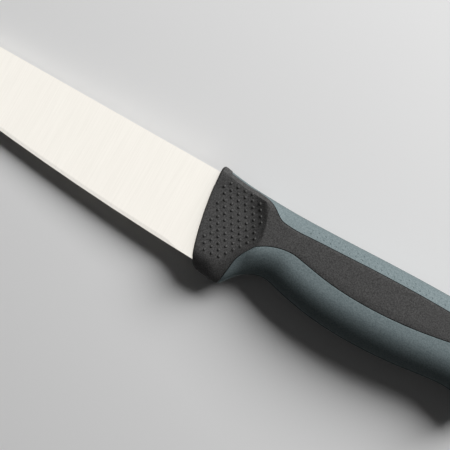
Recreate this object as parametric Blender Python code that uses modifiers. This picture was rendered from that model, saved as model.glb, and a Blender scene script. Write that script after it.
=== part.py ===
"""Meat knife: a ground steel blade whose tang is moulded into a hard core with two soft grips.

Sizes are in metres. While the pieces are made, X runs along the spine from the tip to the butt,
Y from the edge to the spine, and Z out of one side. The zero point is where the spine meets the
bolster. At the end the whole knife is laid on its side, as it rests on a table.
"""

import math

import bmesh
import bpy
from mathutils import Matrix

# Blade
BLADE_LENGTH = 0.190
BLADE_WIDTH = 0.035
SPINE_THICKNESS = 0.0025
TIP_SPINE_THICKNESS = 0.0016
HEEL_EDGE_THICKNESS = 0.0009
BEVEL_ANGLE = math.radians(17.5)
HEEL_SLOPE = math.radians(1.9)
EDGE_RADIUS = 1.19
TIP_SWEEP = 0.066
TIP_SWEEP_POWER = 2.2
SPINE_DROP = 0.0025
SPINE_DROP_LENGTH = 0.060
BLUNT_HEEL = 0.005
BEVEL_RUNOUT = 0.008
PLUNGE_GAP = 0.0003

# Tang, hidden in the handle
SHOULDER_DEPTH = 0.004
TANG_START = 0.016
TANG_WALL = 0.0058
TANG_END_WALL = 0.031
TANG_END_HEIGHT = 0.011
TANG_END_CORNER = 0.002
TANG_HOLE_DIAMETER = 0.006
TANG_HOLE_MARGIN = 0.0155
TANG_HOLES = 3

# Handle: its length behind the bolster's front, and its thickness across
HANDLE_LENGTH = 0.136
BOLSTER_THICKNESS = 0.0126
PAD_STEP = 0.0030
WAIST_THICKNESS = 0.0198
SWELL_THICKNESS = 0.023
NECK_THICKNESS = 0.0212
BUTT_THICKNESS = 0.0206
BOLSTER_SETBACK = 0.0066
BOLSTER_SAG = 0.0012
BOLSTER_LIP = 0.0003
BUTT_CROWN = 0.0015

# Handle: how far its back rises over the spine line
BOLSTER_RISE = 0.0027
BACK_DIP = 0.0003
BACK_RISE = 0.0019

# Handle: how deep it reaches below the spine line, and where
GUARD_DROP = 0.0036
GUARD_RISE = 0.0010
HOOK_PLACE = 0.0198
RECESS_DEPTH = 0.0275
RECESS_PLACE = 0.0334
WAIST_PLACE = 0.042
SWELL_DEPTH = 0.03275
SWELL_PLACE = 0.076
NECK_DEPTH = 0.0291
NECK_FROM_END = 0.0192
BEAK_DEPTH = 0.0312
BEAK_FROM_END = 0.0085
BEAK_FLARE = 0.0008

# Handle: how its sections and its ends are rounded
BOLSTER_CROWN = 0.0020
CROWN_FOOT = 0.0004
GUARD_ROUNDING = 0.0072
HOOK_ROUNDING = 0.0175
RECESS_ROUNDING = 0.0130
BELLY_ROUNDING = 0.0112
SWELL_ROUNDING = 0.0125
CROWN_FULLNESS = 2.2
CROWN_FLATNESS = 3.0
GUARD_FULLNESS = 1.5
HOOK_BLEND = 0.0050
HOOK_FULLNESS = 1.5
BELLY_FULLNESS = 1.75
FRONT_SIDE_RADIUS = 0.0006
FRONT_TOP_RADIUS = 0.0013
FRONT_BOTTOM_RADIUS = 0.0026
BUTT_SIDE_RADIUS = 0.0030
BUTT_CORNER_RADIUS = 0.0042
CORNER_REACH = 0.005

# Soft grips, and the pad ahead of them
SKIN_THICKNESS = 0.002
STRIP_FRONT_THICKNESS = 0.0012
CLEARANCE = 0.0003
STRIP_START = 0.0042
CROWN_SHOW = 0.0004
BUTT_CAP = 0.0065
STRIP_DEPTH = 0.0053
STRIP_MIDDLE_DEPTH = 0.0035
STRIP_REAR_DEPTH = 0.0045
SEAM_CREST_DEPTH = 0.0140
SEAM_LOW_DEPTH = 0.0176
SEAM_REAR_DEPTH = 0.0075
PAD_REACH = 0.0071
PAD_WALL = 0.0090
PAD_BROW = 0.18
PAD_BROW_DEPTH = 0.0030
PAD_SEAM_DEPTH = 0.019
GRIP_LIP = 0.0003

# How finely the shapes are stepped
CROWN_STEPS = 6
SIDE_STEPS = 8
BELLY_STEPS = 10
FILLET_STEPS = 3
PAD_STATIONS = 8
WAIST_STATIONS = 13
GRIP_STATIONS = 16
BLADE_STEPS = 6
TIP_STATIONS = 20
HEEL_STATIONS = 7
OUTLINE_SAMPLES = 24
MERGE_DISTANCE = 0.000002

# Sizes that follow from the others
GUARD_DEPTH = BLADE_WIDTH + GUARD_DROP
NECK_PLACE = HANDLE_LENGTH - NECK_FROM_END
BEAK_PLACE = HANDLE_LENGTH - BEAK_FROM_END
TANG_LENGTH = HANDLE_LENGTH - TANG_END_WALL
TANG_HEIGHT = RECESS_DEPTH - 2 * TANG_WALL
TANG_MIDDLE = -RECESS_DEPTH / 2
PAD_TURN_DEPTH = GUARD_DEPTH * 0.41
STRIP_POINTS = CROWN_STEPS + 2
GRIND_SLOPE = (SPINE_THICKNESS - HEEL_EDGE_THICKNESS) / 2 / BLADE_WIDTH

BLACK = (0.055, 0.054, 0.053, 1.0)
GREY_BLUE = (0.165, 0.205, 0.215, 1.0)
STEEL = (0.80, 0.79, 0.77, 1.0)


def blend(start, end, share):
    return start + (end - start) * share


def smooth_step(value):
    """0 up to 0, 1 from 1 on, and an S between them."""
    value = min(1.0, max(0.0, value))
    return value * value * (3.0 - 2.0 * value)


def curve_through(points):
    """A smooth function through the points, straight beyond both ends."""
    points = sorted(points)
    steps = [b[0] - a[0] for a, b in zip(points, points[1:])]
    slopes = [(b[1] - a[1]) / step for a, b, step in zip(points, points[1:], steps)]
    tangents = [slopes[0]]
    for before, after, slope_in, slope_out in zip(steps, steps[1:], slopes, slopes[1:]):
        tangents.append((after * slope_in + before * slope_out) / (before + after))
    tangents.append(slopes[-1])

    def value_at(place):
        if place <= points[0][0]:
            return points[0][1] + (place - points[0][0]) * tangents[0]
        if place >= points[-1][0]:
            return points[-1][1] + (place - points[-1][0]) * tangents[-1]
        index = max(i for i, point in enumerate(points[:-1]) if point[0] <= place)
        step = steps[index]
        t = (place - points[index][0]) / step
        return (
            points[index][1] * (2 * t**3 - 3 * t**2 + 1)
            + points[index + 1][1] * (3 * t**2 - 2 * t**3)
            + tangents[index] * step * (t**3 - 2 * t**2 + t)
            + tangents[index + 1] * step * (t**3 - t**2)
        )

    return value_at


def points_between(start, end, shares):
    """Points from one named point to the next, each by its share of the way along and down."""
    return [
        (blend(start[0], end[0], along), blend(start[1], end[1], down))
        for along, down in shares
    ]


def crossing(line, outline, low, high):
    """The height at which a section's line meets an outline."""
    for _ in range(48):
        middle = (low + high) / 2
        if middle < outline(line(middle)):
            low = middle
        else:
            high = middle
    return (low + high) / 2


# Guide lines: each gives a place along the knife for a height


def front_line(height):
    """The bolster's front, which leans back towards the edge and bends a little."""
    share = -height / BLADE_WIDTH
    return BOLSTER_SETBACK * share - 4 * BOLSTER_SAG * share * (1 - share)


def plunge_line(height):
    """Where the blade's ground faces end, just ahead of the bolster."""
    return front_line(height) - PLUNGE_GAP


pad_line = curve_through(
    [
        (-GUARD_DEPTH, HOOK_PLACE),
        (-GUARD_DEPTH * 0.83, HOOK_PLACE + PAD_REACH * 0.14),
        (-GUARD_DEPTH * 0.67, HOOK_PLACE + PAD_REACH * 0.28),
        (-GUARD_DEPTH * 0.58, HOOK_PLACE + PAD_REACH * 0.54),
        (-GUARD_DEPTH * 0.50, HOOK_PLACE + PAD_REACH * 0.82),
        (-PAD_TURN_DEPTH, HOOK_PLACE + PAD_REACH),
        (-GUARD_DEPTH * 0.29, HOOK_PLACE + PAD_REACH * 0.90),
        (-GUARD_DEPTH * 0.17, HOOK_PLACE + PAD_REACH * 0.70),
        (-GUARD_DEPTH * 0.08, HOOK_PLACE + PAD_REACH * 0.42),
        (0.0, HOOK_PLACE + PAD_REACH * 0.04),
        (GUARD_DEPTH * 0.07, HOOK_PLACE - PAD_REACH * 0.28),
    ]
)


def butt_line(height):
    """The rear face, which bulges a little halfway up."""
    middle = -BEAK_DEPTH / 2
    return HANDLE_LENGTH - BUTT_CROWN * (height / middle - 1) ** 2


def straight_line(place):
    return lambda height: place


def line_between(first, second, share):
    return lambda height: blend(first(height), second(height), share)


def line_behind(line, distance):
    return lambda height: line(height) + distance


# Outlines, seams and widths of the handle, over its length

HOOK = (HOOK_PLACE, -GUARD_DEPTH)
RECESS = (RECESS_PLACE, -RECESS_DEPTH)
SWELL = (SWELL_PLACE, -SWELL_DEPTH)
NECK = (NECK_PLACE, -NECK_DEPTH)
SEAM_START = (pad_line(-PAD_SEAM_DEPTH), -PAD_SEAM_DEPTH)
SEAM_CREST = (blend(RECESS_PLACE, SWELL_PLACE, 0.146), -SEAM_CREST_DEPTH)
SEAM_LOW = (SWELL_PLACE, -SEAM_LOW_DEPTH)
SEAM_END = (HANDLE_LENGTH, -SEAM_REAR_DEPTH)

back_outline = curve_through(
    [
        (0.0, BOLSTER_RISE),
        (HOOK_PLACE * 0.6, BOLSTER_RISE * 0.41),
        (HOOK_PLACE * 1.2, BOLSTER_RISE * 0.19),
        (RECESS_PLACE, BACK_DIP),
        (blend(RECESS_PLACE, SWELL_PLACE, 0.4), blend(BACK_DIP, BACK_RISE, 0.19)),
        (SWELL_PLACE, blend(BACK_DIP, BACK_RISE, 0.75)),
        (blend(SWELL_PLACE, NECK_PLACE, 0.5), BACK_RISE),
        (NECK_PLACE, BACK_RISE * 0.89),
        (HANDLE_LENGTH, BACK_RISE * 0.37),
    ]
)
belly_outline = curve_through(
    [(0.0, GUARD_RISE - GUARD_DEPTH), (HOOK_PLACE * 0.45, GUARD_RISE * 0.6 - GUARD_DEPTH)]
    + [(HOOK_PLACE * 0.9, -GUARD_DEPTH)]
    + points_between(HOOK, RECESS, [(0.0, 0.03), (0.14, 0.20), (0.287, 0.468), (0.57, 0.784)])
    + points_between(RECESS, SWELL, [(0.0, 0.0), (0.228, 0.343), (0.5, 0.762), (0.775, 0.971)])
    + points_between(SWELL, NECK, [(0.0, 0.0), (0.429, 0.26), (0.809, 0.808), (1.0, 1.0)])
    + [(BEAK_PLACE, -BEAK_DEPTH), (HANDLE_LENGTH, -BEAK_DEPTH - BEAK_FLARE)]
)
strip_seam = curve_through(
    [
        (place, back_outline(place) - CROWN_SHOW)
        for place in (STRIP_START, HOOK_PLACE * 0.6, HOOK_PLACE)
    ]
    + points_between(
        (HOOK_PLACE, 0.0),
        (RECESS_PLACE, -STRIP_DEPTH),
        [(0.287, 0.113), (0.53, 0.49), (0.713, 0.868), (1.0, 1.0)],
    )
    + [
        (blend(RECESS_PLACE, SWELL_PLACE, 0.32), -STRIP_DEPTH * 0.94),
        (SWELL_PLACE, -STRIP_MIDDLE_DEPTH * 1.08),
        (blend(SWELL_PLACE, NECK_PLACE, 0.43), -STRIP_MIDDLE_DEPTH),
        (HANDLE_LENGTH, -STRIP_REAR_DEPTH),
    ]
)
belly_seam = curve_through(
    points_between(SEAM_START, SEAM_CREST, [(0.0, 0.0), (0.257, 0.46), (0.557, 0.8)])
    + points_between(SEAM_CREST, SEAM_LOW, [(0.0, 0.0), (0.204, 0.28), (0.414, 0.667)])
    + points_between(SEAM_LOW, SEAM_END, [(0.0, 0.0), (0.292, 0.119), (0.55, 0.366), (1.0, 1.0)])
)
side_bulge = curve_through(
    [
        (0.0, BOLSTER_THICKNESS / 2 + PAD_STEP),
        (HOOK_PLACE * 1.35, BOLSTER_THICKNESS / 2 + PAD_STEP),
        (WAIST_PLACE, WAIST_THICKNESS / 2),
        (SWELL_PLACE, SWELL_THICKNESS / 2),
        (NECK_PLACE, NECK_THICKNESS / 2),
        (HANDLE_LENGTH, BUTT_THICKNESS / 2),
    ]
)
belly_rounding = curve_through(
    [
        (HOOK_PLACE, HOOK_ROUNDING),
        (blend(HOOK_PLACE, RECESS_PLACE, 0.5), RECESS_ROUNDING),
        (WAIST_PLACE, BELLY_ROUNDING),
        (SWELL_PLACE, SWELL_ROUNDING),
        (HANDLE_LENGTH, BELLY_ROUNDING),
    ]
)


def pad_brow(height):
    """The share of its depth that the pad regains just below the back."""
    return PAD_BROW * smooth_step(1.0 + (height + PAD_BROW_DEPTH / 3) / PAD_BROW_DEPTH)


def wall_climb(place, height):
    """From 0 on the flat of the pad to 1 at the top of the scooped wall behind it."""
    top = pad_line(max(height, -PAD_TURN_DEPTH))
    return min(1.0, max(0.0, 1.0 + (place - top) / PAD_WALL)) ** 2


def guard_share(place):
    """From 0 along the guard to 1 at the hook, where the belly grip begins."""
    return smooth_step(1.0 + (place - HOOK_PLACE) / HOOK_BLEND)


class Section:
    """Half of a cross-section of the handle, from the middle of the back round to the belly.

    The section follows a guide line. Behind the pad it is gripped: the soft grips cover its back
    and its belly. A proud section is the belly grip's, which stands a little over the pad in front.
    """

    def __init__(self, line, gripped=False, proud=False, lip=0.0):
        self.line = line
        self.gripped = gripped
        top = crossing(line, back_outline, -RECESS_DEPTH / 2, RECESS_DEPTH / 2) + lip
        bottom = crossing(line, belly_outline, -2 * GUARD_DEPTH, -RECESS_DEPTH / 2)
        crown = max(BOLSTER_CROWN, top + CROWN_FOOT - crossing(line, strip_seam, bottom, top))
        self.foot = top - crown
        crown_share = (line(self.foot) - HOOK_PLACE) / (RECESS_PLACE - HOOK_PLACE)
        upright = blend(CROWN_FULLNESS, 1.0, smooth_step(crown_share))
        across = blend(CROWN_FULLNESS, CROWN_FLATNESS, smooth_step(crown_share))
        self.strip_depth = blend(STRIP_FRONT_THICKNESS, SKIN_THICKNESS, smooth_step(crown_share))
        low_place = line(bottom)
        rounding = blend(GUARD_ROUNDING, belly_rounding(low_place), guard_share(low_place))
        past_hook = smooth_step((low_place - HOOK_PLACE) / (WAIST_PLACE - HOOK_PLACE))
        belly_power = blend(HOOK_FULLNESS, BELLY_FULLNESS, past_hook)
        belly_power = blend(GUARD_FULLNESS, belly_power, guard_share(low_place))
        quarter = [math.pi / 2 * i / OUTLINE_SAMPLES for i in range(OUTLINE_SAMPLES + 1)]
        outline = [
            (top - crown * (1 - math.cos(a) ** (2 / upright)), math.sin(a) ** (2 / across))
            for a in quarter[:-1]
        ]
        outline += [
            (blend(top - crown, bottom + rounding, i / OUTLINE_SAMPLES), 1.0)
            for i in range(OUTLINE_SAMPLES)
        ]
        power = 2 / belly_power
        outline += [
            (bottom + rounding * (1 - math.cos(a) ** power), math.sin(a) ** power)
            for a in reversed(quarter)
        ]
        self.points = [
            (height, fullness * self.half_width(height, proud)) for height, fullness in outline
        ]
        self.lengths = [0.0]
        for first, second in zip(self.points, self.points[1:]):
            self.lengths.append(self.lengths[-1] + math.dist(first, second))
        self.whole = self.lengths[-1]

    def half_width(self, height, proud):
        place = self.line(height)
        sunk = PAD_STEP * (1 - wall_climb(place, height)) * (1 - pad_brow(height))
        return side_bulge(place) - max(0.0, sunk - (GRIP_LIP if proud else 0.0))

    def at(self, length):
        """The height and width at a length along the outline, mirrored past either end."""
        if length < 0:
            height, width = self.at(-length)
            return height, -width
        if length > self.whole:
            height, width = self.at(2 * self.whole - length)
            return height, -width
        index = max(i for i, start in enumerate(self.lengths[:-1]) if start <= length)
        span = self.lengths[index + 1] - self.lengths[index]
        share = (length - self.lengths[index]) / span
        first, second = self.points[index], self.points[index + 1]
        return blend(first[0], second[0], share), blend(first[1], second[1], share)

    def length_to(self, height):
        """How far along the outline a height is reached."""
        for index, (first, second) in enumerate(zip(self.points, self.points[1:])):
            if first[0] >= height > second[0]:
                share = (first[0] - height) / (first[0] - second[0])
                return blend(self.lengths[index], self.lengths[index + 1], share)
        return 0.0 if height > self.points[0][0] else self.whole

    def point(self, length, depth=0.0, advance=0.0, facing=None):
        """A point below the surface by a depth, and moved along the knife.

        It is sunk square to the surface at its own length, or at the length that it faces from.
        """
        height, width = self.at(length)
        facing = length if facing is None else facing
        reach = max(CLEARANCE, depth)
        before, after = self.at(facing - reach), self.at(facing + reach)
        run = math.dist(before, after)
        sunk_height = height - depth * (after[1] - before[1]) / run
        sunk_width = width + depth * (after[0] - before[0]) / run
        return self.line(height) + advance, sunk_height, max(0.0, sunk_width)

    def seam(self, outline, shift):
        """The length to a seam, shifted along the surface so that its gap is even."""
        height = crossing(self.line, outline, self.points[-1][0], self.points[0][0])
        place = self.line(height)
        slope = (outline(place + CLEARANCE) - outline(place - CLEARANCE)) / (2 * CLEARANCE)
        lean = (self.line(height + CLEARANCE) - self.line(height - CLEARANCE)) / (2 * CLEARANCE)
        slope = max(-1.0, min(1.0, slope)) if height < 0 else 0.0
        return self.length_to(height) + shift * math.hypot(1.0, slope) / (1.0 - lean * slope)


def lengths_between(start, end, steps):
    return [blend(start, end, i / steps) for i in range(steps + 1)]


# Stations of the handle's sections, from the bolster to the butt


def strip_start_line(height):
    """The front end of the back strip's pocket, parallel to the sections around it."""
    share = STRIP_START / pad_line(0.0)
    return blend(front_line(height), pad_line(height), share)


def waist_line(height):
    return WAIST_PLACE


cap_line = line_behind(butt_line, -BUTT_CAP)


def pad_stations():
    """Over the pad, the lines turn from the bolster's front into the pad's rear boundary."""
    ahead = [(1 - i / (PAD_STATIONS + 1)) ** 1.25 for i in range(1, PAD_STATIONS + 1)]
    return [line_between(pad_line, strip_start_line, share) for share in ahead]


def grip_stations():
    """Behind the pad, the lines straighten by the waist and take the butt's bulge at the rear."""
    shares = [(index / WAIST_STATIONS) ** 1.25 for index in range(1, WAIST_STATIONS + 1)]
    lines = [line_between(pad_line, waist_line, share) for share in shares]
    cap_place = HANDLE_LENGTH - BUTT_CAP
    for index in range(1, GRIP_STATIONS):
        place = blend(WAIST_PLACE, cap_place, index / GRIP_STATIONS)
        bulge = smooth_step((place - SWELL_PLACE) / (cap_place - SWELL_PLACE))
        rear_line = line_behind(cap_line, place - cap_place)
        lines.append(line_between(straight_line(place), rear_line, bulge))
    return lines


# Meshes


def loft(rings, folded):
    """Half of a piece, open at the middle plane: a skin over rings of points.

    A folded ring goes out along the outside of a piece and comes back along its inside, so that
    each end is closed between its two halves.
    """
    bm = bmesh.new()
    rows = [[bm.verts.new(point) for point in ring] for ring in rings]
    for first, second in zip(rows, rows[1:]):
        for i in range(len(first) - 1):
            bm.faces.new((first[i], first[i + 1], second[i + 1], second[i]))
    if folded:
        for row in (rows[0], rows[-1]):
            for i in range(len(row) // 2 - 1):
                bm.faces.new((row[i], row[i + 1], row[-2 - i], row[-1 - i]))
    bmesh.ops.remove_doubles(bm, verts=bm.verts, dist=MERGE_DISTANCE)
    bmesh.ops.recalc_face_normals(bm, faces=bm.faces)
    if bm.calc_volume(signed=True) < 0:
        bmesh.ops.reverse_faces(bm, faces=bm.faces)
    return bm


def make_object(name, bm, collection):
    mesh = bpy.data.meshes.new(name)
    bm.to_mesh(mesh)
    bm.free()
    piece = bpy.data.objects.new(name, mesh)
    collection.objects.link(piece)
    return piece


def add_mirror(piece):
    mirror = piece.modifiers.new("Other side", "MIRROR")
    mirror.use_axis = (False, False, True)
    mirror.use_clip = True
    mirror.merge_threshold = MERGE_DISTANCE


def add_cut(piece, cutter):
    cut = piece.modifiers.new("Cut " + cutter.name, "BOOLEAN")
    cut.operation = "DIFFERENCE"
    cut.solver = "EXACT"
    cut.object = cutter


def make_cutter(name, bm, collection):
    cutter = make_object(name, bm, collection)
    cutter.hide_render = True
    cutter.display_type = "WIRE"
    return cutter


def make_material(name, colour, roughness, metallic):
    material = bpy.data.materials.new(name)
    material.use_nodes = True
    shader = material.node_tree.nodes["Principled BSDF"]
    shader.inputs["Base Color"].default_value = colour
    shader.inputs["Roughness"].default_value = roughness
    shader.inputs["Metallic"].default_value = metallic
    return material


def finish(piece, material, sharp_angle):
    piece.data.materials.append(material)
    piece.data.shade_smooth()
    piece.data.set_sharp_from_angle(angle=sharp_angle)


# Handle


def core_lengths(section):
    """Lengths round a section: over the crown, down the side, and round the belly."""
    strip = section.seam(strip_seam, CLEARANCE / 2)
    if section.gripped:
        belly = section.seam(belly_seam, -CLEARANCE / 2)
    else:
        belly = section.length_to(-PAD_SEAM_DEPTH)
    return (
        lengths_between(0.0, strip, CROWN_STEPS),
        [strip] + lengths_between(section.length_to(section.foot), belly, SIDE_STEPS - 1),
        lengths_between(belly, section.whole, BELLY_STEPS),
    )


def sunk_points(section, lengths, start, end, depth):
    """Points sunk below a soft grip, facing as if there were no gap at its seam."""
    facings = lengths_between(start, end, len(lengths) - 1)
    return [section.point(length, depth, facing=face) for length, face in zip(lengths, facings)]


def core_ring(section, strip_cut=True, skinned=None):
    """A ring of the core, sunk below the strip, and below the belly grip of a skinned section."""
    crown, side, belly = core_lengths(section)
    depth = section.strip_depth if strip_cut else 0.0
    ring = sunk_points(section, crown, 0.0, section.seam(strip_seam, 0.0), depth)
    ring += [section.point(length) for length in side]
    if skinned is None:
        return ring + [section.point(length) for length in belly]
    belly = core_lengths(skinned)[2]
    start = skinned.seam(belly_seam, 0.0)
    return ring + sunk_points(skinned, belly, start, skinned.whole, SKIN_THICKNESS)


def end_radius(section, height, side, top, bottom):
    """An end's rounding, which grows towards its top and bottom corners."""
    highest, lowest = section.points[0][0], section.points[-1][0]
    above = smooth_step(1 - (highest - height) / CORNER_REACH)
    below = smooth_step(1 - (height - lowest) / CORNER_REACH)
    return side + (top - side) * above + (bottom - side) * below


def rounded_end(section, radii, direction):
    """Rings from an end's flat face out to the full section, in a quarter round."""
    lengths = sum(core_lengths(section), [])
    rings = []
    for step in range(FILLET_STEPS + 1):
        angle = math.pi / 2 * step / FILLET_STEPS
        ring = []
        for length in lengths:
            radius = end_radius(section, section.at(length)[0], *radii)
            depth = radius * (1 - math.sin(angle))
            advance = direction * radius * (1 - math.cos(angle))
            ring.append(section.point(length, depth, advance))
        rings.append(ring)
    middle = [(place, height, 0.0) for place, height, width in rings[0]]
    return [middle] + rings


def core_rings():
    front = Section(front_line, lip=BOLSTER_LIP)
    radii = (FRONT_SIDE_RADIUS, FRONT_TOP_RADIUS, FRONT_BOTTOM_RADIUS)
    rings = rounded_end(front, radii, 1)
    lipped = core_ring(Section(strip_start_line, lip=BOLSTER_LIP), strip_cut=False)
    rings += [lipped, core_ring(Section(strip_start_line))[:STRIP_POINTS] + lipped[STRIP_POINTS:]]
    rings += [core_ring(Section(line)) for line in pad_stations()]
    rings.append(core_ring(Section(pad_line, gripped=True)))
    for line in [pad_line] + grip_stations() + [cap_line]:
        skinned = Section(line, gripped=True, proud=True)
        rings.append(core_ring(Section(line, gripped=True), skinned=skinned))
    rings.append(core_ring(Section(cap_line, gripped=True), strip_cut=False))
    radii = (BUTT_SIDE_RADIUS, BUTT_CORNER_RADIUS, BUTT_CORNER_RADIUS)
    return rings + rounded_end(Section(butt_line, gripped=True), radii, -1)[::-1]


def skin_ring(section, middle, seam, shift, steps, pocket_depth):
    """A ring of a soft grip: from its middle out over its surface, and back along its inside."""
    lengths = lengths_between(middle, section.seam(seam, shift), steps)
    outside = [section.point(length) for length in lengths]
    depth = pocket_depth - CLEARANCE
    inside = sunk_points(section, lengths, middle, section.seam(seam, 0.0), depth)
    return outside + inside[::-1]


def strip_rings():
    rear_end = line_behind(cap_line, -CLEARANCE)
    lines = [line_behind(strip_start_line, CLEARANCE)] + pad_stations()
    rings = []
    for line in lines + [pad_line] + grip_stations() + [rear_end]:
        section = Section(line)
        depth = section.strip_depth
        rings.append(skin_ring(section, 0.0, strip_seam, -CLEARANCE / 2, CROWN_STEPS, depth))
    return rings


def belly_rings():
    front_end = line_behind(pad_line, CLEARANCE)
    rear_end = line_behind(cap_line, -CLEARANCE)
    rings = []
    for line in [front_end] + grip_stations() + [rear_end]:
        section = Section(line, gripped=True, proud=True)
        middle = section.whole
        rings.append(
            skin_ring(section, middle, belly_seam, CLEARANCE / 2, BELLY_STEPS, SKIN_THICKNESS)
        )
    return rings


# Blade


def spine_outline(place):
    """The spine is straight, and drops a little towards the tip."""
    reach = max(0.0, -place - (BLADE_LENGTH - SPINE_DROP_LENGTH)) / SPINE_DROP_LENGTH
    return -SPINE_DROP * reach**2


def edge_arc(from_heel):
    """Depth of the edge along its main stretch, a shallow arc from the heel."""
    return BLADE_WIDTH - math.tan(HEEL_SLOPE) * from_heel - from_heel**2 / (2 * EDGE_RADIUS)


def edge_outline(place):
    """The edge follows its arc, and then sweeps up to meet the spine at the tip."""
    whole = BLADE_LENGTH + BOLSTER_SETBACK
    from_heel = BOLSTER_SETBACK - place
    sweep = max(0.0, from_heel - (whole - TIP_SWEEP)) / TIP_SWEEP
    lift = edge_arc(whole) - SPINE_DROP
    return -edge_arc(from_heel) + lift * sweep**TIP_SWEEP_POWER


def ground_half_thickness(place, height):
    """The flat of the blade: thinner towards the edge and towards the tip."""
    taper = (SPINE_THICKNESS - TIP_SPINE_THICKNESS) / 2 / BLADE_LENGTH
    return SPINE_THICKNESS / 2 + GRIND_SLOPE * height - taper * (plunge_line(0.0) - place)


def ground_ring(line):
    """A ring of the ground blade, from the middle of its spine round to its cutting edge."""
    top = crossing(line, spine_outline, -BLADE_WIDTH, BLADE_WIDTH)
    bottom = crossing(line, edge_outline, -2 * BLADE_WIDTH, top)
    from_heel = BOLSTER_SETBACK - line(bottom)
    blunt = smooth_step(1 - (from_heel - BLUNT_HEEL) / BEVEL_RUNOUT)
    full = ground_half_thickness(line(bottom), bottom)
    bevel = min(full * (1 - blunt) / (math.tan(BEVEL_ANGLE) - GRIND_SLOPE), top - bottom)
    ring = [(line(top), top, 0.0)]
    for height in lengths_between(top, bottom + bevel, BLADE_STEPS):
        reach = blunt * full + (height - bottom) * math.tan(BEVEL_ANGLE)
        flat = ground_half_thickness(line(height), height)
        ring.append((line(height), height, min(flat, reach)))
    return ring + [(line(bottom), bottom, blunt * full), (line(bottom), bottom, 0.0)]


def ground_rings():
    """From the tip to the bolster, with the sections closest together at the tip."""
    heel_start = -(BLUNT_HEEL + BEVEL_RUNOUT)
    rings = []
    for index in range(TIP_STATIONS):
        place = blend(-BLADE_LENGTH, heel_start, (index / TIP_STATIONS) ** 2)
        rings.append(ground_ring(straight_line(place)))
    for index in range(HEEL_STATIONS + 1):
        share = index / HEEL_STATIONS
        rings.append(ground_ring(line_between(straight_line(heel_start), plunge_line, share)))
    return rings


def stock_ring(line, top, bottom, grow):
    """A ring of the parallel stock behind the plunge line."""
    half = SPINE_THICKNESS / 2 + grow
    heights = lengths_between(top + grow, bottom - grow, BLADE_STEPS)
    side = [(line(height), height, half) for height in heights]
    upper = (line(heights[0]), heights[0], 0.0)
    lower = (line(heights[-1]), heights[-1], 0.0)
    return [upper] + side + [side[-1], lower]


def tang_rings(start_line, grow):
    """The stock behind the bolster's front: a full-width shoulder, and the tapering tang."""
    shoulder_line = line_behind(plunge_line, SHOULDER_DEPTH + grow)
    heel = crossing(plunge_line, edge_outline, -2 * BLADE_WIDTH, 0.0)
    rings = [stock_ring(line, 0.0, heel, grow) for line in (start_line, shoulder_line)]
    top = TANG_MIDDLE + TANG_HEIGHT / 2
    bottom = TANG_MIDDLE - TANG_HEIGHT / 2
    for index in range(1, FILLET_STEPS + 1):
        share = index / FILLET_STEPS
        line = line_between(shoulder_line, straight_line(TANG_START + grow), share)
        narrowing = 1 - (1 - share) ** 2
        rings.append(
            stock_ring(line, blend(0.0, top, narrowing), blend(heel, bottom, narrowing), grow)
        )
    end_top = TANG_MIDDLE + TANG_END_HEIGHT / 2
    end_bottom = TANG_MIDDLE - TANG_END_HEIGHT / 2
    for index in range(FILLET_STEPS + 1):
        angle = math.pi / 2 * index / FILLET_STEPS
        place = TANG_LENGTH + grow - TANG_END_CORNER * (1 - math.sin(angle))
        drop = TANG_END_CORNER * (1 - math.cos(angle))
        rings.append(stock_ring(straight_line(place), end_top - drop, end_bottom + drop, grow))
    middle = [(place, height, 0.0) for place, height, width in rings[-1]]
    return rings + [middle]


def tang_pins(name, radius, collection):
    """Round bars along the tang, which cut its holes and leave the core's plugs in them."""
    bm = bmesh.new()
    first, last = TANG_START + TANG_HOLE_MARGIN, TANG_LENGTH - TANG_HOLE_MARGIN
    for place in lengths_between(first, last, TANG_HOLES - 1):
        bmesh.ops.create_cone(
            bm,
            cap_ends=True,
            segments=OUTLINE_SAMPLES,
            radius1=radius,
            radius2=radius,
            depth=BOLSTER_THICKNESS / 2,
            matrix=Matrix.Translation((place, TANG_MIDDLE, 0.0)),
        )
    return make_cutter(name, bm, collection)


def make_blade(collection, cutters):
    rings = ground_rings() + tang_rings(line_behind(plunge_line, PLUNGE_GAP / 2), 0.0)
    blade = make_object("blade", loft(rings, folded=False), collection)
    add_mirror(blade)
    add_cut(blade, tang_pins("tang_hole_cutter", TANG_HOLE_DIAMETER / 2, cutters))
    finish(blade, make_material("brushed steel", STEEL, 0.32, 1.0), math.radians(4))
    return blade


def make_tang_pocket(cutters):
    """The room for the tang: its own shape with clearance, less the plugs through its holes."""
    open_line = line_behind(front_line, -SHOULDER_DEPTH)
    rings = tang_rings(open_line, CLEARANCE)
    mouth = [(place, height, 0.0) for place, height, width in rings[0]]
    pocket = make_cutter("tang_pocket_cutter", loft([mouth] + rings, folded=False), cutters)
    add_mirror(pocket)
    plug_radius = TANG_HOLE_DIAMETER / 2 - CLEARANCE
    add_cut(pocket, tang_pins("tang_plug_shape", plug_radius, cutters))
    return pocket


def make_core(collection, cutters):
    core = make_object("handle_core", loft(core_rings(), folded=False), collection)
    add_mirror(core)
    add_cut(core, make_tang_pocket(cutters))
    finish(core, make_material("black hard plastic", BLACK, 0.55, 0.0), math.radians(35))
    return core


def make_grips(collection):
    soft = make_material("grey-blue soft plastic", GREY_BLUE, 0.6, 0.0)
    grips = []
    for name, rings in (("spine_grip", strip_rings()), ("belly_grip", belly_rings())):
        grip = make_object(name, loft(rings, folded=True), collection)
        add_mirror(grip)
        finish(grip, soft, math.radians(35))
        grips.append(grip)
    return grips


# The knife as it lies


def evaluated_points(pieces):
    bpy.context.view_layer.update()
    depsgraph = bpy.context.evaluated_depsgraph_get()
    return [v.co.copy() for piece in pieces for v in piece.evaluated_get(depsgraph).data.vertices]


def lowest(points, tilt):
    return min(point.z * math.cos(tilt) + point.x * math.sin(tilt) for point in points)


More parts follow.
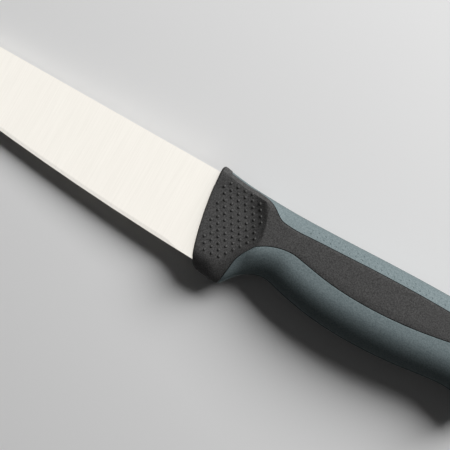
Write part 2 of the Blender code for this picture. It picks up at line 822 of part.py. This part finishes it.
def rest_tilt(blade_points, handle_points):
    """The tilt at which the blade and the handle touch the table together."""
    low, high = 0.0, math.radians(20)
    for _ in range(48):
        tilt = (low + high) / 2
        if lowest(blade_points, tilt) > lowest(handle_points, tilt):
            low = tilt
        else:
            high = tilt
    return (low + high) / 2


def lay_on_side(blade, handle, collection):
    """Parent everything to one empty, which rests the pieces on the table over the middle."""
    tilt = rest_tilt(evaluated_points([blade]), evaluated_points(handle))
    turn = Matrix.Rotation(-tilt, 4, "Y")
    turned = [turn @ point for point in evaluated_points([blade] + handle)]
    rest = bpy.data.objects.new("knife at rest", None)
    rest.rotation_euler = (0.0, -tilt, 0.0)
    rest.location = (
        -(min(p.x for p in turned) + max(p.x for p in turned)) / 2,
        -(min(p.y for p in turned) + max(p.y for p in turned)) / 2,
        -min(p.z for p in turned),
    )
    for piece in bpy.data.objects:
        if piece != rest:
            piece.parent = rest
    collection.objects.link(rest)


def make_knife():
    for old in list(bpy.data.objects):
        bpy.data.objects.remove(old)
    pieces = bpy.data.collections.new("meat knife")
    cutters = bpy.data.collections.new("cutters")
    bpy.context.scene.collection.children.link(pieces)
    bpy.context.scene.collection.children.link(cutters)
    blade = make_blade(pieces, cutters)
    handle = [make_core(pieces, cutters)] + make_grips(pieces)
    lay_on_side(blade, handle, pieces)


make_knife()
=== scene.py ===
"""Meat knife on a pale table: satin steel blade, hard black handle core, soft grey-blue grips.

Sizes are in metres. Places on the knife are given in its own frame, as a knife maker would: X runs
back along the spine from the bolster, Y from the edge up to the spine, and Z out of its side.
"""

import math

import bpy
from mathutils import Matrix, Vector


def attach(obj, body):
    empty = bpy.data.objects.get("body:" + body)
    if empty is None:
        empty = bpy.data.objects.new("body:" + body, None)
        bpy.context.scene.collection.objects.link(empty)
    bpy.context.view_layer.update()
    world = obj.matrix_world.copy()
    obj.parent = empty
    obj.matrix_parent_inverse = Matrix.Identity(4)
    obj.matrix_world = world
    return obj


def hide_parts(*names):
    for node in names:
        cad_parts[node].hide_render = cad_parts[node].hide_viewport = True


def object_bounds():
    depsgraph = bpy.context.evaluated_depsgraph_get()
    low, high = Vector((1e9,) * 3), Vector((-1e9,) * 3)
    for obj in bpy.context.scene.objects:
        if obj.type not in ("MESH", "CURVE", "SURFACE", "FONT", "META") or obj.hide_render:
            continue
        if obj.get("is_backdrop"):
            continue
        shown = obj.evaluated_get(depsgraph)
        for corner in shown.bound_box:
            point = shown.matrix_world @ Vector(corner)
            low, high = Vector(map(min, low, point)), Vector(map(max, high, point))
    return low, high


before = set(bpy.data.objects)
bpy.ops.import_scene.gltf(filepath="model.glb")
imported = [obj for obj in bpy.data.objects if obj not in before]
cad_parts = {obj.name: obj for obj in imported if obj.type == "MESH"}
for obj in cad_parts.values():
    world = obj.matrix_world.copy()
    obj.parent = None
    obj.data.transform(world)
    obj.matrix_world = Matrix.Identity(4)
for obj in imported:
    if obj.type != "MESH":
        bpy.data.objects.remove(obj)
CAD_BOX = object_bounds()

# How the knife lies: where its spine meets the bolster, and how far the blade dips to the table
BOLSTER_POINT = Vector((0.026829, 0.017840, 0.008437))
REST_TILT = math.radians(2.3714)
KNIFE = Matrix.Translation(BOLSTER_POINT) @ Matrix.Rotation(-REST_TILT, 4, "Y")

# Copies of the CAD pieces: how near two corners merge, and which triangles pair up
MERGE_DISTANCE = 0.000005
PAIR_BEND = math.radians(60)
PAIR_SKEW = math.radians(180)

# Blade: its bevel leans more than its ground side, and its spine is rounded from tip to heel
BEVEL_TILT = math.radians(10)
SPINE_ROUNDING = 0.00018
SPINE_STEPS = 3
SPINE_FROM = -0.1885
SPINE_TO = 0.0005
SQUARE_ON = 0.9
LEAST_SIDEWAYS = 0.5
BLADE_SHADING = math.radians(6)

# Handle: the tang's pocket, the rims of its pieces, and how smooth they are
POCKET_HALF = 0.0017
RIM_ANGLE = math.radians(50)
RIM_ROUNDING = 0.00016
RIM_STEPS = 2
SMOOTH_LEVELS = 2
HANDLE_SHADING = math.radians(40)

# The scoop behind each thumb pad: the firm part of its crest, and its soft corner under the spine
SCOOP_BEND = math.radians(8)
SCOOP_CREASE = 0.45
CREST_FROM = (0.0120, -0.0165, 0.0084)
CREST_TO = (0.0280, -0.0070)
CREST_SLOPE = 0.8
CORNER_FROM = (0.0090, -0.0062, 0.0050)
CORNER_TO = (0.0265, 0.0010)
CORNER_PULL = 0.5
CORNER_PASSES = 8

# The mould's parting lines along the middle of the grips
PARTING_WIDTH = 0.00036
PARTING_FACING = 0.3
BELLY_PARTING_RISE = 0.00030
STRIP_PARTING_RISE = 0.00010
ON_MIDDLE = 0.00001

# Pips on the two thumb pads: how many stand in each row, from the spine down to the edge
PIP_COUNTS = (4, 6, 6, 6, 7, 6, 6, 7, 6, 5, 5, 4, 3)
PIP_RADIUS = 0.00060
PIP_HEIGHT = 0.00042
PIP_SINK = 0.00006
PIP_PITCH = 0.00310
PIP_ROW_PITCH = 0.00229
PIP_ROW_SHIFT = 0.00133
PIP_MARGIN = 0.0031
PIP_SIDES = 10
PIP_RINGS = 8
PIP_SHADING = math.radians(60)
FIRST_PIP = (0.0028, -0.0019)
PIP_LIFT = 0.00165
PIP_LIFT_START = 0.0090
PIP_LIFT_END = 0.0240
PIP_LIFT_CURL = 1.7

# Dimples along both sides of the back strip
DIMPLE_RADIUS = 0.00050
DIMPLE_DEPTH = 0.00024
DIMPLE_PITCH = 0.0028
DIMPLE_ROWS = (0.00185, 0.00355)
DIMPLES_FROM = 0.0423
DIMPLES_TO = 0.1270
DIMPLE_SIDES = 14
DIMPLE_RINGS = 10

# Looking for a piece's side from beside the knife, and for the strip's lower border
PROBE_FROM = 0.03
BORDER_BELOW = -0.009
BORDER_HALVINGS = 16

# Steel: its darkest and palest streaks, and how many to a metre
SATIN_TINTS = ((0.832, 0.802, 0.742, 1), (0.868, 0.838, 0.778, 1))
SATIN_STREAKS = 60.0
SATIN_STRETCH = (60.0, 1.0, 1.0)
HONED_TINTS = ((0.79, 0.77, 0.73, 1), (0.89, 0.87, 0.83, 1))
HONED_STREAKS = 120.0
HONED_STRETCH = (40.0, 1.0, 1.0)
STREAK_DEPTH = 0.00001

# Plastics: their darkest and palest grains, how many to a metre, and how deep
BLACK_TINTS = ((0.026, 0.0255, 0.025, 1), (0.088, 0.087, 0.086, 1))
BLACK_GRAIN = 1900.0
GREY_BLUE_TINTS = ((0.112, 0.146, 0.154, 1), (0.190, 0.229, 0.237, 1))
GREY_BLUE_GRAIN = 1700.0
GRAIN_DEPTH = 0.00004
PLASTIC_SPECULAR = 0.2

# Camera, over the point that the picture is centred on
VIEW_CENTRE = (0.0118, -0.0172, 0.0085)
VIEW_WIDTH = 0.1746
VIEW_ROLL = math.radians(29.614)
CAMERA_HEIGHT = 1.4
SENSOR = 36.0

# The table, as it is seen and as it lights the knife from below
TABLE_SIZE = 4.0
TABLE_PALE = (0.72, 0.72, 0.72, 1)
TABLE_BOUNCE = (0.03, 0.03, 0.03, 1)
TABLE_ROUGHNESS = 0.8
TABLE_SPECULAR = 0.2

# The room: its fill light, its backdrop, and its ceiling's heights and brightness in reflections
ROOM_FILL = 0.04
BACKDROP = 0.85
CEILING = (0.36, 0.84, 0.10, 1.06)

# The softbox: its size, its power, and where it stands from the knife
KEY_SIZE = 0.7
KEY_POWER = 23.0
KEY_AZIMUTH = math.radians(69)
KEY_HEIGHT = math.radians(34)
KEY_DISTANCE = 1.2


def on_knife(x, y, z=0.0):
    return KNIFE @ Vector((x, y, z))


# Modelling by hand


def select_only(*pieces):
    bpy.ops.object.select_all(action="DESELECT")
    for piece in pieces:
        piece.select_set(True)
    bpy.context.view_layer.objects.active = pieces[0]


def edit(piece, mode="EDGE"):
    select_only(piece)
    modes = bpy.context.tool_settings
    modes.mesh_select_mode = (mode == "VERT", mode == "EDGE", mode == "FACE")
    bpy.ops.object.mode_set(mode="EDIT")


def done():
    bpy.ops.object.mode_set(mode="OBJECT")


def apply_all(piece):
    select_only(piece)
    for modifier in list(piece.modifiers):
        bpy.ops.object.modifier_apply(modifier=modifier.name)


def copy_of(node, name):
    """A copy of a CAD piece in the knife's frame, its loose triangles merged and paired."""
    piece = bpy.data.objects.new(name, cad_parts[node].data.copy())
    piece.data.name = name
    bpy.context.scene.collection.objects.link(piece)
    piece.data.transform(KNIFE.inverted())
    select_only(piece)
    bpy.ops.mesh.customdata_custom_splitnormals_clear()
    edit(piece)
    bpy.ops.mesh.select_all(action="SELECT")
    bpy.ops.mesh.remove_doubles(threshold=MERGE_DISTANCE)
    bpy.ops.mesh.tris_convert_to_quads(
        face_threshold=PAIR_BEND, shape_threshold=PAIR_SKEW, topology_influence=1.0
    )
    bpy.ops.mesh.select_all(action="DESELECT")
    done()
    return piece


def lay_down(piece, node, slot, *materials):
    """Put a finished piece where the knife lies, in place of its CAD solid."""
    piece.data.transform(KNIFE)
    piece.data.materials.clear()
    for material in materials:
        piece.data.materials.append(material)
    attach(piece, "root")
    if node:
        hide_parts(node)


def shade(piece, angle):
    select_only(piece)
    bpy.ops.object.shade_smooth_by_angle(angle=angle)


def edge_faces(mesh):
    """The faces on the two sides of each edge."""
    sides = {edge.key: [] for edge in mesh.edges}
    for face in mesh.polygons:
        for key in face.edge_keys:
            sides[key].append(face)
    return sides


def select_edges(piece, wanted):
    """Select the edges for which wanted says yes, from their two ends and their two faces."""
    mesh = piece.data
    sides = edge_faces(mesh)
    for item in (mesh.vertices, mesh.edges, mesh.polygons):
        item.foreach_set("select", [False] * len(item))
    for edge in mesh.edges:
        ends = [mesh.vertices[i].co for i in edge.vertices]
        edge.select = wanted(ends, *sides[edge.key][:2])


# Blade


def make_blade():
    blade = copy_of("blade", "steel_blade")

    def on_spine(ends, first, second):
        along = SPINE_FROM < min(ends[0].x, ends[1].x) and max(ends[0].x, ends[1].x) < SPINE_TO
        back = max(first.normal.y, second.normal.y) > SQUARE_ON
        side = max(abs(first.normal.z), abs(second.normal.z)) > SQUARE_ON
        return along and back and side

    select_edges(blade, on_spine)
    edit(blade)
    bpy.ops.mesh.bevel(
        offset=SPINE_ROUNDING, segments=SPINE_STEPS, affect="EDGES", clamp_overlap=True
    )
    done()
    for face in blade.data.polygons:
        low = face.center.x < 0 and face.normal.y < 0
        leaning = LEAST_SIDEWAYS < abs(face.normal.z) < math.cos(BEVEL_TILT)
        face.material_index = int(low and leaning)
    shade(blade, BLADE_SHADING)
    return blade


# Handle


def crease(piece, wanted, amount):
    select_edges(piece, wanted)
    edit(piece)
    bpy.ops.transform.edge_crease(value=amount)
    done()


def bend_between(first, second):
    return first.normal.angle(second.normal, 0.0)


def is_convex(first, second):
    return (second.center - first.center).dot(first.normal) < 0


def is_sharp(ends, first, second):
    return bend_between(first, second) > RIM_ANGLE


def is_rim(ends, first, second):
    """A sharp convex edge of a piece's outside, away from the tang's pocket."""
    away = abs(ends[0].z) > POCKET_HALF and abs(ends[1].z) > POCKET_HALF
    return away and is_sharp(ends, first, second) and is_convex(first, second)


def smooth_out(piece):
    subdivision = piece.modifiers.new("smooth", "SUBSURF")
    subdivision.levels = SMOOTH_LEVELS
    subdivision.render_levels = SMOOTH_LEVELS
    apply_all(piece)


def round_rims(piece):
    select_edges(piece, is_rim)
    edit(piece)
    bpy.ops.mesh.bevel(offset=RIM_ROUNDING, segments=RIM_STEPS, affect="EDGES", clamp_overlap=True)
    done()
    shade(piece, HANDLE_SHADING)


def is_within(place, low, high):
    """Whether a place lies between two corners along X and Y, and far enough out to either side."""
    along = low[0] < place.x < high[0]
    return along and low[1] < place.y < high[1] and abs(place.z) > low[2]


def make_core():
    core = copy_of("handle_core", "hard_core")

    def on_scoop_crest(ends, first, second):
        """The top of the scooped wall behind the pad."""
        middle = (ends[0] + ends[1]) / 2
        across = abs(ends[0].y - ends[1].y) > abs(ends[0].x - ends[1].x) * CREST_SLOPE
        turning = is_convex(first, second) and bend_between(first, second) > SCOOP_BEND
        return across and turning and is_within(middle, CREST_FROM, CREST_TO)

    soften_scoop_corner(core)
    crease(core, is_sharp, 1.0)
    crease(core, on_scoop_crest, SCOOP_CREASE)
    smooth_out(core)
    round_rims(core)
    return core


def soften_scoop_corner(core):
    """Where the scoop's rear wall turns forward under the spine, its corner is soft."""
    select_edges(core, is_sharp)
    on_rim = {i for edge in core.data.edges if edge.select for i in edge.vertices}
    for edge in core.data.edges:
        edge.select = False
    for vertex in core.data.vertices:
        inside = is_within(vertex.co, CORNER_FROM, CORNER_TO)
        vertex.select = inside and vertex.index not in on_rim
    edit(core, "VERT")
    bpy.ops.mesh.vertices_smooth(factor=CORNER_PULL, repeat=CORNER_PASSES)
    done()


def raise_parting_line(grip, outward, rise):
    """The fine ridge that the two halves of the mould leave along the middle of a grip."""

    def on_middle(ends, first, second):
        flat = max(abs(ends[0].z), abs(ends[1].z)) < ON_MIDDLE
        return flat and min(first.normal.y * outward, second.normal.y * outward) > PARTING_FACING

    select_edges(grip, on_middle)
    edit(grip)
    bpy.ops.mesh.bevel(offset=PARTING_WIDTH / 2, segments=1, affect="EDGES", clamp_overlap=True)
    bpy.ops.mesh.extrude_region_move(
        TRANSFORM_OT_translate={"value": (0.0, outward * rise, 0.0)}
    )
    done()


def make_grip(node, name, outward, parting_rise):
    grip = copy_of(node, name)
    raise_parting_line(grip, outward, parting_rise)
    crease(grip, is_sharp, 1.0)
    smooth_out(grip)
    return grip


# Pips and dimples


def hit(piece, x, y, side):
    """Where a piece's side is met, and which way it faces there."""
    start = Vector((x, y, side * PROBE_FROM))
    found, point, normal, _ = piece.ray_cast(start, Vector((0, 0, -side)))
    return (point, normal) if found else None


def place_on(point, normal, height):
    turn = normal.to_track_quat("Z", "Y").to_matrix().to_4x4()
    return Matrix.Translation(point + normal * height) @ turn


def copies_at(piece, places, name):
    """Copies of a small shape at all the places, joined into one piece."""
    copies = []
    for place in places:
        copy = bpy.data.objects.new(name, piece.data.copy())
        bpy.context.scene.collection.objects.link(copy)
        copy.data.transform(place)
        copies.append(copy)
    bpy.data.objects.remove(piece)
    select_only(*copies)
    bpy.ops.object.join()
    joined = bpy.context.object
    joined.name = name
    joined.data.name = name
    return joined


def pip_rows(core, side):
    """Slanting rows over the pad, whose rear ends curl up a little."""
    for row, count in enumerate(PIP_COUNTS):
        x = FIRST_PIP[0] + row * PIP_ROW_SHIFT
        y = FIRST_PIP[1] - row * PIP_ROW_PITCH
        while not hit(core, x - PIP_MARGIN, y, side):
            x += PIP_PITCH
        while hit(core, x - PIP_MARGIN - PIP_PITCH, y, side):
            x -= PIP_PITCH
        for column in range(count):
            rear = max(0.0, (x - PIP_LIFT_START) / (PIP_LIFT_END - PIP_LIFT_START))
            yield hit(core, x, y + PIP_LIFT * rear**PIP_LIFT_CURL, side)
            x += PIP_PITCH


def make_pips(core):
    """Low domes, their feet a little below the pad."""
    bpy.ops.mesh.primitive_uv_sphere_add(
        segments=PIP_SIDES, ring_count=PIP_RINGS, radius=PIP_RADIUS
    )
    pip = bpy.context.object
    edit(pip, "VERT")
    bpy.ops.mesh.select_all(action="SELECT")
    bpy.ops.mesh.bisect(plane_co=(0, 0, 0), plane_no=(0, 0, 1), use_fill=True, clear_inner=True)
    bpy.ops.mesh.select_all(action="SELECT")
    bpy.ops.transform.resize(value=(1, 1, (PIP_HEIGHT + PIP_SINK) / PIP_RADIUS))
    done()
    places = [place_on(*spot, -PIP_SINK) for side in (1, -1) for spot in pip_rows(core, side)]
    pips = copies_at(pip, places, "thumb_pad_pips")
    shade(pips, PIP_SHADING)
    return pips


def strip_border(strip, x, side):
    """How low the strip's side reaches at a place along it."""
    low, high = BORDER_BELOW, 0.0
    for _ in range(BORDER_HALVINGS):
        middle = (low + high) / 2
        if hit(strip, x, middle, side):
            high = middle
        else:
            low = middle
    return high


def dimple_strip(strip):
    """Press two rows of dimples into each side of the strip."""
    ball_radius = (DIMPLE_RADIUS**2 + DIMPLE_DEPTH**2) / (2 * DIMPLE_DEPTH)
    bpy.ops.mesh.primitive_uv_sphere_add(
        segments=DIMPLE_SIDES, ring_count=DIMPLE_RINGS, radius=ball_radius
    )
    ball = bpy.context.object
    count = round((DIMPLES_TO - DIMPLES_FROM) / DIMPLE_PITCH)
    places = []
    for side in (1, -1):
        for index in range(count + 1):
            x = DIMPLES_FROM + index * DIMPLE_PITCH
            border = strip_border(strip, x, side)
            for rise in DIMPLE_ROWS:
                places.append(place_on(*hit(strip, x, border + rise, side), ball_radius - DIMPLE_DEPTH))
    balls = copies_at(ball, places, "dimple balls")
    cut = strip.modifiers.new("dimples", "BOOLEAN")
    cut.operation = "DIFFERENCE"
    cut.solver = "EXACT"
    cut.object = balls
    apply_all(strip)
    bpy.data.objects.remove(balls)


# Finishes


def new_material(name):
    material = bpy.data.materials.new(name)
    material.use_nodes = True
    return material, material.node_tree, material.node_tree.nodes["Principled BSDF"]


def node(tree, kind, **values):
    made = tree.nodes.new(kind)
    for name, value in values.items():
        if name in made.inputs:
            made.inputs[name].default_value = value
        else:
            setattr(made, name, value)
    return made


def grain(tree, scale, detail, stretch=(1.0, 1.0, 1.0), crisp=0.5):
    """Noise over the surface, its fineness given as a count to a metre."""
    place = node(tree, "ShaderNodeTexCoord")
    mapping = node(tree, "ShaderNodeMapping", Scale=stretch)
    noise = node(tree, "ShaderNodeTexNoise", Scale=scale, Detail=detail, Roughness=crisp)
    tree.links.new(place.outputs["Object"], mapping.inputs["Vector"])
    tree.links.new(mapping.outputs["Vector"], noise.inputs["Vector"])
    return noise.outputs["Fac"]


def ramp(tree, source, low, high, low_at=0.35, high_at=0.65):
    made = node(tree, "ShaderNodeValToRGB")
    made.color_ramp.elements[0].position = low_at
    made.color_ramp.elements[0].color = low
    made.color_ramp.elements[1].position = high_at
    made.color_ramp.elements[1].color = high
    tree.links.new(source, made.inputs["Fac"])
    return made.outputs["Color"]


def either(tree, first, second):
    made = node(tree, "ShaderNodeMath", operation="MAXIMUM")
    tree.links.new(first, made.inputs[0])
    tree.links.new(second, made.inputs[1])
    return made.outputs["Value"]


def rough(tree, source, low, high, shader):
    made = node(tree, "ShaderNodeMapRange")
    made.inputs["To Min"].default_value = low
    made.inputs["To Max"].default_value = high
    tree.links.new(source, made.inputs["Value"])
    tree.links.new(made.outputs["Result"], shader.inputs["Roughness"])


def bump(tree, source, distance, strength, shader):
    made = node(tree, "ShaderNodeBump", Strength=strength, Distance=distance)
    tree.links.new(source, made.inputs["Height"])
    tree.links.new(made.outputs["Normal"], shader.inputs["Normal"])


def satin_steel():
    """Steel ground across the blade, with fine streaks and a soft sheen."""
    material, tree, shader = new_material("satin ground steel")
    shader.inputs["Metallic"].default_value = 1.0
    streaks = grain(tree, SATIN_STREAKS, 6.0, SATIN_STRETCH)
    tree.links.new(ramp(tree, streaks, *SATIN_TINTS), shader.inputs["Base Color"])
    rough(tree, streaks, 0.26, 0.34, shader)
    bump(tree, streaks, STREAK_DEPTH, 0.25, shader)
    return material


def honed_steel():
    """The cutting bevel, ground finer and along its slope."""
    material, tree, shader = new_material("honed bevel steel")
    shader.inputs["Metallic"].default_value = 1.0
    streaks = grain(tree, HONED_STREAKS, 4.0, HONED_STRETCH)
    tree.links.new(ramp(tree, streaks, *HONED_TINTS), shader.inputs["Base Color"])
    rough(tree, streaks, 0.22, 0.34, shader)
    bump(tree, streaks, STREAK_DEPTH, 0.2, shader)
    return material


def hard_plastic():
    """Black moulded plastic with a sparked grain."""
    material, tree, shader = new_material("black hard plastic")
    fine = grain(tree, BLACK_GRAIN, 5.0, crisp=0.78)
    tree.links.new(ramp(tree, fine, *BLACK_TINTS, 0.40, 0.60), shader.inputs["Base Color"])
    rough(tree, fine, 0.58, 0.74, shader)
    bump(tree, fine, GRAIN_DEPTH, 0.7, shader)
    shader.inputs["Specular IOR Level"].default_value = PLASTIC_SPECULAR
    return material


def soft_plastic():
    """Grey-blue soft plastic with a fine speckle."""
    material, tree, shader = new_material("grey-blue soft plastic")
    fine = grain(tree, GREY_BLUE_GRAIN, 5.0, crisp=0.8)
    tree.links.new(ramp(tree, fine, *GREY_BLUE_TINTS, 0.41, 0.59), shader.inputs["Base Color"])
    rough(tree, fine, 0.66, 0.80, shader)
    bump(tree, fine, GRAIN_DEPTH, 0.7, shader)
    shader.inputs["Specular IOR Level"].default_value = PLASTIC_SPECULAR
    return material


# Table, light and camera


def make_table():
    bpy.ops.mesh.primitive_plane_add(size=TABLE_SIZE, location=(0, 0, 0))
    table = bpy.context.object
    table.name = "table"
    material, tree, shader = new_material("pale table")
    shader.inputs["Roughness"].default_value = TABLE_ROUGHNESS
    shader.inputs["Specular IOR Level"].default_value = TABLE_SPECULAR
    path = node(tree, "ShaderNodeLightPath")
    seen = either(tree, path.outputs["Is Glossy Ray"], path.outputs["Is Transmission Ray"])
    seen = either(tree, seen, path.outputs["Is Camera Ray"])
    colour = ramp(tree, seen, TABLE_BOUNCE, TABLE_PALE, 0.0, 1.0)
    tree.links.new(colour, shader.inputs["Base Color"])
    table.data.materials.append(material)
    table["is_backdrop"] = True


def area_light(name, size, power, azimuth, height_angle, distance):
    """A square lamp that faces the knife from an azimuth, counted from +X, and a height."""
    target = on_knife(*VIEW_CENTRE)
    flat = math.cos(height_angle) * distance
    rise = math.sin(height_angle) * distance
    offset = Vector((flat * math.cos(azimuth), flat * math.sin(azimuth), rise))
    data = bpy.data.lights.new(name, "AREA")
    data.shape = "SQUARE"
    data.size = size
    data.energy = power
    lamp = bpy.data.objects.new(name, data)
    lamp.location = target + offset
    lamp.rotation_euler = offset.to_track_quat("Z", "Y").to_euler()
    lamp.visible_camera = False
    bpy.context.scene.collection.objects.link(lamp)


def pale_ceiling(tree):
    """How bright the room looks in a reflection: a pale ceiling over dimmer walls."""
    place = node(tree, "ShaderNodeTexCoord")
    parts = node(tree, "ShaderNodeSeparateXYZ")
    tree.links.new(place.outputs["Generated"], parts.inputs["Vector"])
    height = node(tree, "ShaderNodeMapRange", interpolation_type="SMOOTHSTEP")
    tree.links.new(parts.outputs["Z"], height.inputs["Value"])
    for name, value in zip(("From Min", "From Max", "To Min", "To Max"), CEILING):
        height.inputs[name].default_value = value
    return height.outputs["Result"]


def choose(tree, chosen, otherwise, wanted):
    """One brightness where a ray is of a kind, and another elsewhere."""
    pick = node(tree, "ShaderNodeMapRange")
    tree.links.new(chosen, pick.inputs["Value"])
    for name, value in (("To Min", otherwise), ("To Max", wanted)):
        if isinstance(value, float):
            pick.inputs[name].default_value = value
        else:
            tree.links.new(value, pick.inputs[name])
    return pick.outputs["Result"]


def light_room():
    world = bpy.data.worlds.new("studio")
    world.use_nodes = True
    tree = world.node_tree
    path = node(tree, "ShaderNodeLightPath")
    mirrored = either(tree, path.outputs["Is Glossy Ray"], path.outputs["Is Transmission Ray"])
    brightness = choose(tree, mirrored, ROOM_FILL, pale_ceiling(tree))
    brightness = choose(tree, path.outputs["Is Camera Ray"], brightness, BACKDROP)
    tree.links.new(brightness, tree.nodes["Background"].inputs["Strength"])
    tree.nodes["Background"].inputs["Color"].default_value = (1.0, 1.0, 1.0, 1)
    bpy.context.scene.world = world
    area_light("key softbox", KEY_SIZE, KEY_POWER, KEY_AZIMUTH, KEY_HEIGHT, KEY_DISTANCE)


def make_camera():
    data = bpy.data.cameras.new("camera")
    data.sensor_width = SENSOR
    data.lens = SENSOR * CAMERA_HEIGHT / VIEW_WIDTH
    camera = bpy.data.objects.new("camera", data)
    camera.location = on_knife(*VIEW_CENTRE) + Vector((0, 0, CAMERA_HEIGHT))
    camera.rotation_euler = (0, 0, VIEW_ROLL)
    bpy.context.scene.collection.objects.link(camera)
    bpy.context.scene.camera = camera
    bpy.context.scene.view_settings.view_transform = "Standard"


blade = make_blade()
core = make_core()
belly = make_grip("belly_grip", "soft_belly_grip", -1, BELLY_PARTING_RISE)
strip = make_grip("spine_grip", "soft_back_strip", 1, STRIP_PARTING_RISE)
dimple_strip(strip)
for grip in (belly, strip):
    round_rims(grip)
pips = make_pips(core)

black = hard_plastic()
soft = soft_plastic()
lay_down(blade, "blade", "steel", satin_steel(), honed_steel())
lay_down(core, "handle_core", "black_plastic", black)
lay_down(belly, "belly_grip", "grey_blue_plastic", soft)
lay_down(strip, "spine_grip", "grey_blue_plastic", soft)
lay_down(pips, None, "black_plastic", black)

make_table()
light_room()
make_camera()

[[list(corner) for corner in box] for box in (CAD_BOX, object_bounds())]
